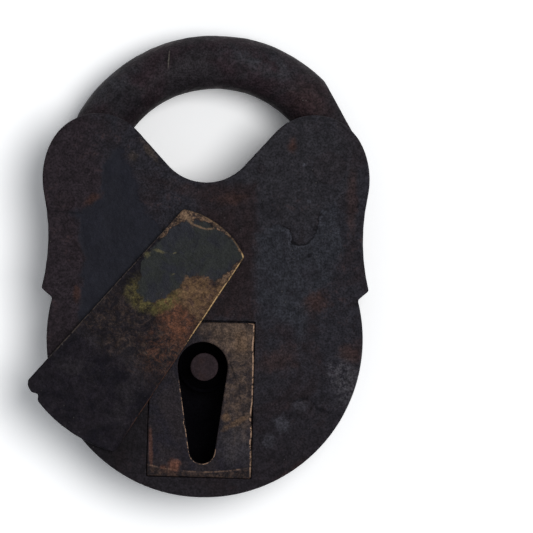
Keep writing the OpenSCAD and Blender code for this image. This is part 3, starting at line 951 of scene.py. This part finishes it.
def shackle_iron():
    s = Shader("shackle_iron", rgb(34, 31, 34))
    large, middle, fine = s.noise(18, 5, 0.6, 0.5), s.noise(4.5, 5, 0.65, 0.3), s.noise(1.3, 4, 0.7)
    s.paint(rgb(36, 28, 32), s.step(large, 0.40, 0.58))
    grey = s.either(
        s.patch((-30, 86), (12, 5), 42, 0.5, 0.6, 5), s.patch((16, 92), (12, 4), -20, 0.5, 0.6, 5))
    s.paint(rgb(42, 41, 45), grey, s.step(middle, 0.32, 0.62))
    dark = s.either(
        s.patch((-24, 79), (5, 4), 40, 0.5, 0.6, 4), s.patch((19, 95), (3, 1.6), -20, 0.5, 0.6, 3))
    s.paint(rgb(20, 20, 24), dark, 0.6)
    s.stain(DULL_RUST, ((31, 80, 5, 6, 40, 0.22), (-14, 99, 4, 2, 20, 0.25)))
    # One scratch across the top of the bow
    s.paint(rgb(104, 99, 92), s.patch((-11.6, 92.4), (0.18, 2.2), -4, 0.6, 0.5, 1.5), 0.8)
    s.crust(0.6, 0.5, 0.5)
    s.bump((s.noise(7, 4, 0.55), 0.5), (s.noise(2.0, 4, 0.65), 0.30), (fine, 0.14))
    return s.finish(s.step(middle, 0.3, 0.7, 0.46, 0.68), 0.2)


def plain_iron(name, base, rust, rust_share, rough=0.6, metallic=0.3, specular=0.06):
    s = Shader(name, base)
    middle, fine = s.noise(4, 5, 0.65, 0.3), s.noise(1.0, 4, 0.7)
    s.paint(rust, s.step(middle, 0.66 - rust_share / 2, 0.80 - rust_share / 2))
    s.crust(0.3, 0.3, 0.0)
    s.bump((s.noise(3, 4, 0.6), 0.25), (fine, 0.1))
    return s.finish(s.step(middle, 0.3, 0.7, rough - 0.12, rough + 0.12), metallic, specular)


def escutcheon_brass():
    s = Shader("escutcheon_brass", rgb(23, 21, 27))
    middle, fine = s.noise(2.6, 5, 0.70, 0.4), s.noise(0.8, 4, 0.7)
    s.paint(rgb(30, 26, 29), s.step(s.noise(9, 5, 0.65, 0.6), 0.42, 0.60))
    # Rubbed bronze right of the keyhole, strongest at the top corner
    bronze = s.mix(rgb(50, 41, 37), rgb(78, 64, 54), s.step(middle, 0.34, 0.62))
    corner = s.patch((9.5, 9), (9, 6), -20, 0.5, 0.7, 3.5)
    side = s.both(s.patch((10.5, -6), (5.5, 14), 6, 0.5, 0.8, 3), s.step(middle, 0.40, 0.60, 0.25, 0.65))
    s.paint(bronze, s.either(corner, side), s.step(fine, 0.32, 0.50, 0.5, 1.0))
    scraped = s.noise(0.6, 3, 0.6, stretch=(0.5, 6.0))
    s.paint(rgb(56, 53, 55), s.patch((9.5, -23), (4.5, 6), 0, 0.6, 0.9, 3), scraped, 0.7)
    s.stain(rgb(86, 66, 48), (
        (10, -16.5, 4.2, 0.8, 28, 0.5), (6.8, -15, 1.2, 1.4, 10, 0.5), (11, 7.5, 2, 3, 0, 0.35)),
        0.6, 1.2, 1.6)
    s.stain(rgb(80, 52, 42), (
        (-9, -30.4, 1.8, 2.6, -10, 0.85), (-12, -31, 1.2, 1.2, 0, 0.7), (-15.8, -25, 0.6, 6, 2, 0.5)),
        0.5, 0.9, 2)
    # A crack beside the keyhole
    s.paint(DARK_PIT, s.patch((8.6, -1.0), (0.25, 3.2), 18, 0.6, 0.6, 1.5), 0.7)
    # The arc that the cover's corner has scratched, and the rusty strip below it
    reach = s.length(s.frame(pivot))
    below = s.step(s.math("ADD", reach, s.both(middle, 0.6)), SCRATCH_R + 0.3, SCRATCH_R + 0.9)
    rusty = s.mix(rgb(20, 17, 19), rgb(50, 39, 34), s.step(s.noise(1.8, 5, 0.75), 0.46, 0.60))
    s.paint(rusty, below, 0.85)
    s.paint(rgb(80, 64, 54), s.line(reach, SCRATCH_R, 0.36, 0.06), s.step(middle, 0.42, 0.58, 0.1, 0.8))
    s.crust(0.5, 0.5, 0.35)
    # Rims, rubbed and partly painted highlight where they face the light: bright and broken on the right,
    # and along the keyhole's left side and foot
    rim = s.both(s.attribute("rim_wear_and_highlight"), s.step(s.noise(1.4, 4, 0.7), 0.42, 0.56, 0.1, 1.0))
    right = s.patch((15.2, -8), (2.2, 23), 2, 0.2, 0.2, 5, box=True)
    top = s.patch((10, 13.5), (6, 1.5), 0, 0.3, 0.3, 3, box=True)
    hole = s.either(
        s.patch((-7, -15), (3.5, 10), 10, 0.3, 0.3, 4), s.patch((-0.5, -27.5), (6, 4), 0, 0.3, 0.2, 4))
    s.paint(rgb(66, 54, 48), rim, s.mix_value(0.25, 0.7, top))
    s.paint(rgb(152, 124, 104), s.step(s.both(rim, s.either(right, hole)), 0.0, 0.55, 0.0, 0.95))
    s.bump((s.noise(5, 4, 0.55), 0.3), (s.noise(1.6, 4, 0.65), 0.18), (fine, 0.10))
    return s.finish(s.step(middle, 0.3, 0.7, 0.40, 0.6), 0.3)


def cover_brass():
    """The keyhole cover; its places and turns are the cover's own."""
    s = Shader("cover_brass", rgb(11, 9, 15))
    lean = -math.degrees(COVER_LEAN)

    def patch(x, y, size, turn, *border, box=False):
        return s.patch(on_cover(x, y), size, lean + turn, *border, box=box)

    def stain(colour, spots, *border):
        placed = [(*on_cover(x, y), wide, high, lean + turn, strength)
                  for x, y, wide, high, turn, strength in spots]
        s.stain(colour, placed, *border)

    middle, fine = s.noise(2.2, 5, 0.72, 0.4), s.noise(0.8, 4, 0.7)
    s.paint(rgb(20, 17, 22), s.step(s.noise(7, 6, 0.7, 0.8), 0.42, 0.60))
    # Rough brown crust in the middle, with copper showing through towards the right edge
    brown = s.mix(rgb(19, 16, 20), rgb(50, 40, 35), s.step(s.noise(2.6, 8, 0.82, 1.2), 0.46, 0.64))
    s.paint(brown, patch(1, -33, (17, 9), 0, 0.4, 0.5, 5, box=True), 0.9)
    mottled = s.step(s.noise(2.8, 8, 0.80, 1.4), 0.46, 0.58, 0.0, 0.8)
    s.paint(rgb(66, 43, 33), patch(9.5, -29, (6.5, 9), -6, 0.6, 0.9, 3.5), mottled)
    s.paint(rgb(38, 33, 35), s.step(s.noise(3.4, 8, 0.82, 1.6), 0.54, 0.66), 0.3)
    # Orange under the slate skin, gold towards the right edge, olive along the skin's border
    burnt = s.mix(rgb(50, 35, 30), rgb(82, 52, 38), s.step(s.noise(1.8, 8, 0.8, 0.8), 0.42, 0.58))
    s.paint(burnt, patch(6, -21.5, (8.5, 4.5), -24, 0.4, 0.8, 3), 0.9)
    gold = s.either(patch(6.5, -12, (6, 6), 0, 0.3, 0.6, 3), patch(11.5, -8, (1.8, 10), 0, 0.5, 0.7, 3))
    tan = s.mix(rgb(56, 41, 34), rgb(88, 68, 49), s.step(middle, 0.38, 0.58))
    s.paint(tan, gold, s.step(fine, 0.28, 0.48, 0.4, 0.95))
    edge = s.border("slate_field", 2.0, 2.0)
    olive = s.both(s.line(edge, -1.9, 3.0, 0.6), patch(-2.5, -22, (9, 6), 12, 0.5, 0.7, 3))
    s.paint(rgb(72, 66, 38), olive, s.step(s.noise(1.6, 8, 0.8), 0.39, 0.56, 0.1, 0.95))
    # The slate-green skin itself
    slate = s.step(edge, -0.25, 0.30)
    skin = s.mix(rgb(33, 35, 34), rgb(30, 31, 36), s.step(s.noise(9, 5, 0.7, 0.5), 0.42, 0.58))
    s.paint(skin, slate, 0.95)
    # Worn tan band round the top, between the skin and the edge, and its loop at the corner
    worn = s.mix(rgb(40, 32, 30), rgb(98, 78, 62), s.step(s.noise(1.2, 5, 0.75), 0.42, 0.58))
    s.paint(worn, s.step(edge, 0.1, -0.5), patch(-2, 3, (14, 8), 0, 0.2, 0.3, 4, box=True), 0.9)
    stain(rgb(76, 71, 50), (
        (-10.5, -9, 1.3, 0.4, 20, 0.8), (-12.8, -12, 0.7, 0.9, 0, 0.8), (-6.5, -6.6, 0.5, 0.2, 57.5, 0.6),
        (-3, -12, 0.5, 0.2, 67.5, 0.6)), 0.7, 1.4, 0.8)
    stain(rgb(94, 76, 60), (
        (-9.9, 4.1, 2.2, 0.7, -20, 0.85), (-5.6, 4.1, 2.4, 0.3, 17, 0.85), (-2.5, 5.7, 1.0, 0.3, 45, 0.8)),
        0.6, 1.2, 0.9)
    # Pale bloom on the dark foot
    stain(rgb(35, 32, 35), (
        (-9, -52, 4.5, 2.2, 30, 0.5), (8, -46, 2.5, 5, 0, 0.45), (2, -40, 3.5, 2.4, 0, 0.45),
        (-10, -42, 3, 1.6, 0, 0.45), (10, -54, 2, 3, 0, 0.35)), 0.8, 1.8, 1.6)
    s.crust(s.mix_value(0.45, 0.2, slate), s.mix_value(0.5, 0.2, slate), 0.35)
    # Rubbed edges, partly painted highlight where they face the light: grey on the left, dark at the foot,
    # gold at the top and brightest on the right
    rim = s.both(s.attribute("rim_wear_and_highlight"), s.step(s.noise(1.2, 4, 0.7), 0.38, 0.54, 0.15, 1.0))
    left, foot, crown, right = (patch(x, y, size, 0, soft, 0.2, 5, box=True) for x, y, size, soft in (
        (-14, -24, (6, 28), 0.3), (14.5, -36, (3.5, 20), 0.3),
        (0, 7, (15, 5), 0.2), (13, -8, (3.5, 16), 0.3)))
    s.paint(rgb(74, 66, 62), s.step(s.both(rim, left), 0.0, 0.6, 0.0, 0.7))
    s.paint(rgb(84, 58, 46), rim, foot, 0.7)
    s.paint(rgb(112, 92, 72), rim, crown, 0.75)
    s.paint(rgb(176, 146, 104), s.step(s.both(rim, right), 0.0, 0.5, 0.0, 0.95))
    s.bump((s.noise(6, 4, 0.55), 0.3), (s.noise(1.8, 4, 0.65), 0.18), (fine, 0.10))
    return s.finish(s.mix_value(s.step(middle, 0.3, 0.7, 0.42, 0.62), 0.46, slate), 0.3)


# ---- table, light and camera

TABLE_HALF = 3.0  # half the table's side, metres
TABLE_GAP = 0.2  # how far the table lies below the lock, mm
TABLE_SEEN = (1.22, 1.22, 1.22, 1.0)  # the table as the camera sees it, just past white
ROOM_TINT = (0.93, 0.96, 1.0, 1.0)
ROOM_LEVEL = 0.42  # how brightly the white room lights matt surfaces

KEY_DISTANCE = 1.6  # metres from the lock to the key light
KEY_TILT = math.radians(19)  # away from straight above
KEY_SIDE = math.radians(15)  # it stands to the right, a little up the picture
KEY_SPREAD = math.radians(16)  # half the angle that it fills
KEY_LEVEL = 0.60  # its share of a white surface's brightness

FRAME_WIDTH = 159.9  # width of the picture at the front plate, mm
VIEW_DISTANCE = 2500.0  # from the front plate to the camera, mm
VIEW_CENTRE = (18.37, 30.33)  # what the middle of the picture shows, mm
VIEW_ROLL = math.radians(0.55)  # the lock lies turned slightly clockwise


def table():
    mesh = bpy.data.meshes.new("table")
    low = (back_low[2] - TABLE_GAP) * MM
    corners = [(x * TABLE_HALF, y * TABLE_HALF, low) for x, y in ((-1, -1), (1, -1), (1, 1), (-1, 1))]
    mesh.from_pydata(corners, [], [(0, 1, 2, 3)])
    obj = linked("table", mesh)
    s = Shader("table_white", rgb(236, 236, 236))
    s.paint(rgb(240, 240, 240), s.noise(40, 2, 0.5))
    s.paint(TABLE_SEEN, s.plain_ray())
    mesh.materials.append(s.finish(0.9, 0.0, 0.0))


def world():
    made = bpy.data.worlds.new("studio")
    bpy.context.scene.world = made
    w = Tree(made)
    w.tree.nodes.clear()
    soft = w.node("Background", {"Color": ROOM_TINT, "Strength": ROOM_LEVEL}).outputs[0]
    white = w.node("Background", {"Color": (1, 1, 1, 1), "Strength": 1.0}).outputs[0]
    mixed = w.node("MixShader", {0: w.plain_ray(), 1: soft, 2: white}).outputs[0]
    w.node("OutputWorld", {"Surface": mixed})


def key_light():
    """One large soft light."""
    data = bpy.data.lights.new("key", "AREA")
    data.shape = "DISK"
    data.size = 2 * KEY_DISTANCE * math.tan(KEY_SPREAD)
    data.energy = KEY_LEVEL * (math.pi * KEY_DISTANCE) ** 2 / math.cos(KEY_TILT)
    aim = Vector((VIEW_CENTRE[0] * MM, VIEW_CENTRE[1] * MM, front_high[2] * MM))
    way = Vector((math.sin(KEY_TILT) * math.cos(KEY_SIDE), math.sin(KEY_TILT) * math.sin(KEY_SIDE),
                  math.cos(KEY_TILT)))
    obj = linked("key", data)
    obj.location = aim + way * KEY_DISTANCE
    obj.rotation_euler = (-way).to_track_quat("-Z", "Y").to_euler()


def camera():
    data = bpy.data.cameras.new("camera")
    data.sensor_width = 36.0
    data.lens = data.sensor_width * VIEW_DISTANCE / FRAME_WIDTH
    data.clip_end = 20.0
    obj = linked("camera", data)
    obj.location = (VIEW_CENTRE[0] * MM, VIEW_CENTRE[1] * MM, (front_high[2] + VIEW_DISTANCE) * MM)
    obj.rotation_euler = (0, 0, VIEW_ROLL)
    bpy.context.scene.camera = obj


# ---- assembly

def stand_for(piece, node, body, slot, material):
    piece.data.materials.clear()
    piece.data.materials.append(material)
    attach(piece, body)
    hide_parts(node)


def main():
    metal = {
        "front_iron": front_skin("front_iron"), "back_iron": back_iron(), "band_iron": band_iron(),
        "shackle_iron": shackle_iron(), "escutcheon_brass": escutcheon_brass(),
        "cover_brass": cover_brass(), "rivet_iron": front_skin("rivet_iron", 0.25),
        "pin_iron": plain_iron("pin_iron", rgb(36, 28, 31), rgb(42, 32, 33), 0.3),
        # The inner steel and the ward ring's iron are painted near-black: painted shade inside the case,
        # seen through the keyhole
        "inner_steel": plain_iron("inner_steel", rgb(18, 17, 20), rgb(28, 20, 18), 0.4, 0.7, 0.1, 0.02),
        "spring_steel": plain_iron("spring_steel", rgb(66, 64, 66), rgb(52, 38, 32), 0.2, 0.45, 0.7),
        "inside_shade_iron": plain_iron("inside_shade_iron", INSIDE_SHADE_BLACK, DARK_PIT, 0.4, 0.85, 0.0, 0.02)}

    pieces = [
        (front_plate(), "front_plate", "case", "front_iron"),
        (back_plate(), "back_plate", "case", "back_iron"),
        (band("side_band", 91), "side_band", "case", "band_iron"),
        (band("saddle_band", 95), "saddle_band", "case", "band_iron"),
        (escutcheon(), "escutcheon", "case", "escutcheon_brass"),
        (drill_pin(), "drill_pin", "case", "pin_iron"),
        (cover_rivet(), "cover_rivet", "case", "cover_brass"),
        (keyhole_cover(), "keyhole_cover", "cover", "cover_brass"),
        (shackle(), "shackle", "shackle", "shackle_iron")]
    riveted = [n for n in sorted(frame["nodes"]) if "_rivet_" in n or "saddle_pin" in n or n == "hinge_pin"]
    pieces += [(rivet(node, seed), node, "case", "rivet_iron") for seed, node in enumerate(riveted, 101)]
    for piece, node, body, slot in pieces:
        stand_for(piece, node, body, slot, metal[slot])

    plain_nodes = {"bolt": "inner_steel", "spring_post": "inner_steel", "ward_ring": "inside_shade_iron",
                   "bolt_spring": "spring_steel", "bolt_staple_left": "inner_steel",
                   "bolt_staple_right": "inner_steel"}
    for node, name in plain_nodes.items():
        data = frame["nodes"][node].data
        data.materials.clear()
        data.materials.append(metal[name])

    table()
    world()
    key_light()
    camera()
    bpy.context.scene.view_settings.view_transform = "Standard"


main()
